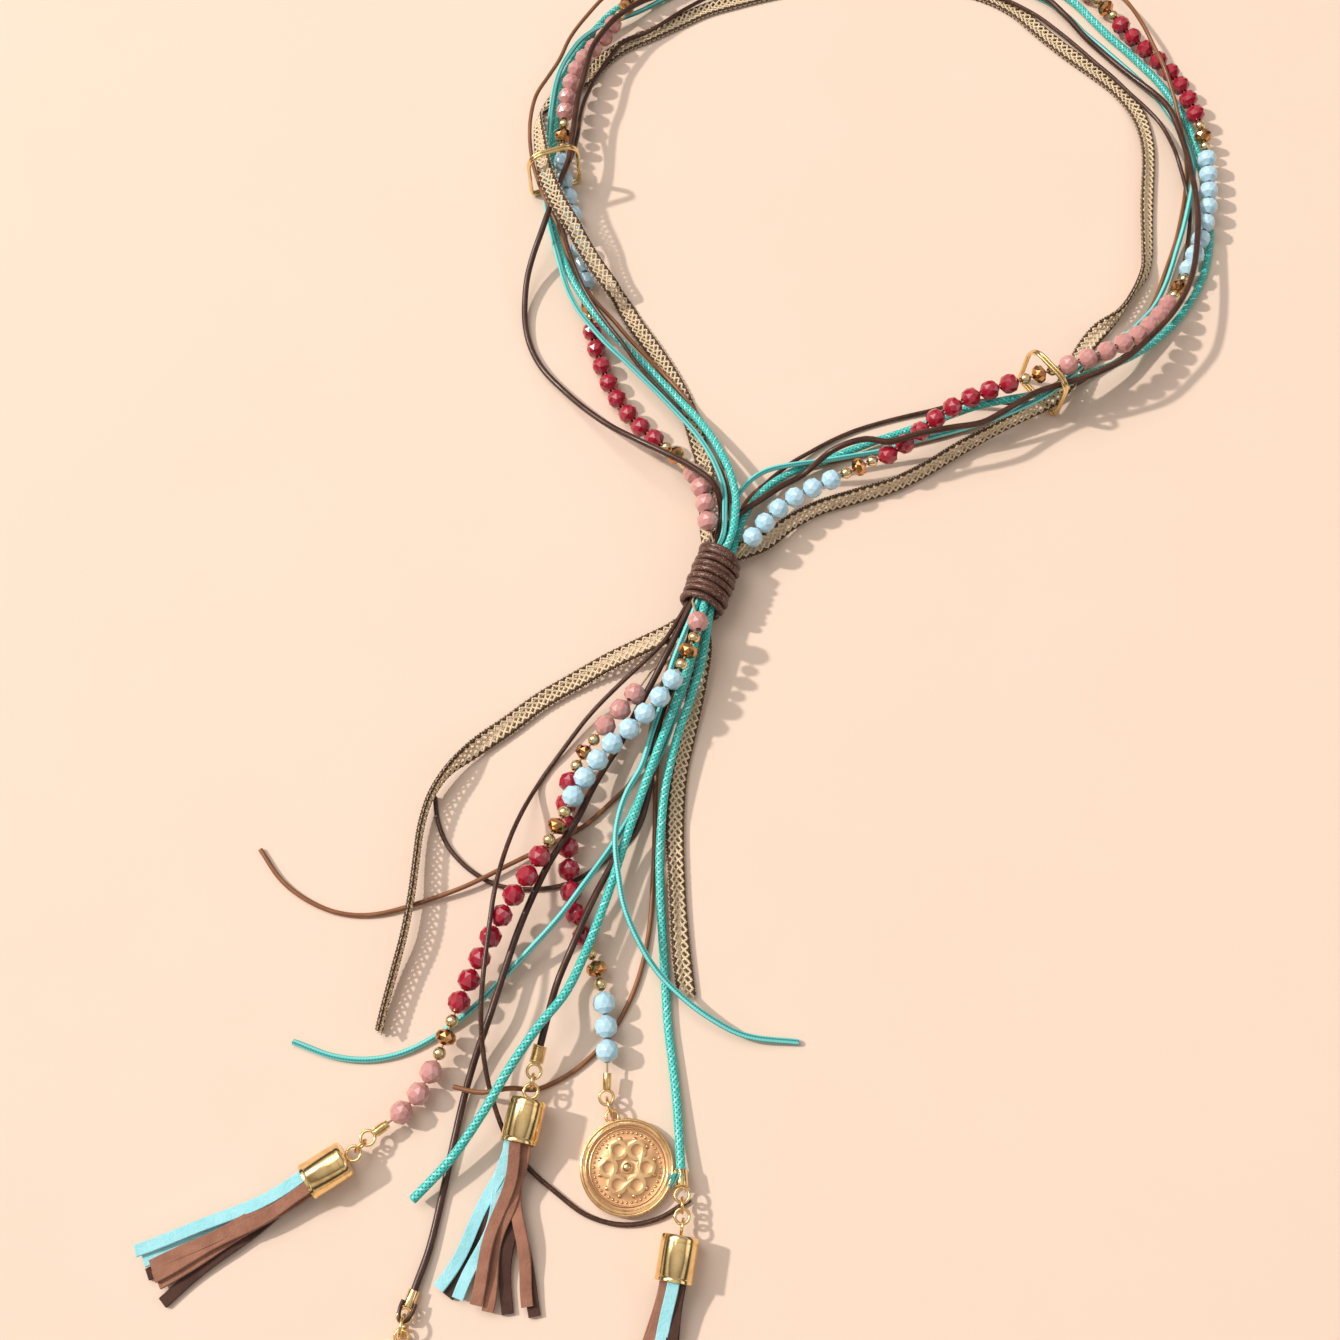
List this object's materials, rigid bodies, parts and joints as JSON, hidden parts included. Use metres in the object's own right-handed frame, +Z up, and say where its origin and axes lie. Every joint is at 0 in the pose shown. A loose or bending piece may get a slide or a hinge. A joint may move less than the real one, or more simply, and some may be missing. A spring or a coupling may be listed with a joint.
{
  "type": "tassel necklace",
  "caption": "Long knotted necklace of faceted glass beads, leather and waxed cords and a woven braid, with metal-capped suede tassels, a medallion and a pierced disc",
  "frame": {"origin": "the middle of the box's underside, on the surface that the necklace lies on", "axes": "+Z up from the surface; +Y from the tassels to the neck loop; +X to the right seen from above with the tassels towards the viewer"},
  "size_m": [0.3122, 0.5023, 0.0186],
  "materials": {
    "braid": "woven, cream gold with dark edges",
    "glass_bead": "opaque pressed glass, faceted, in pink, red and pale blue",
    "thread": "twisted thread",
    "turquoise_cord": "waxed braided cord",
    "dark_leather": "smooth dark leather cord",
    "tan_leather": "smooth tan leather cord",
    "gold": "polished gold plate",
    "rose_gold": "polished rose gold plate",
    "suede": "suede strips in turquoise, brown and dark brown"
  },
  "bodies": {
    "root": {"braid_band": "braid", "bead_string_left": "glass_bead", "bead_string_right": "glass_bead", "bead_tails": "glass_bead", "bead_thread": "thread", "turquoise_cord_thick": "turquoise_cord", "turquoise_cord_thin": "turquoise_cord", "dark_cord_thick": "dark_leather", "dark_cord_thin": "dark_leather", "tan_cord": "tan_leather", "knot_wrap": "dark_leather", "ring_left": "gold", "ring_right": "gold", "tassel_1_cap": "gold", "tassel_1_fringe": "suede", "tassel_1_links": "gold", "tassel_2_cap": "gold", "tassel_2_fringe": "suede", "tassel_2_links": "gold", "tassel_3_cap": "gold", "tassel_3_fringe": "suede", "tassel_3_links": "gold", "medallion": "rose_gold", "medallion_links": "gold", "pierced_disc": "gold", "disc_links": "gold"}
  },
  "joints": []
}
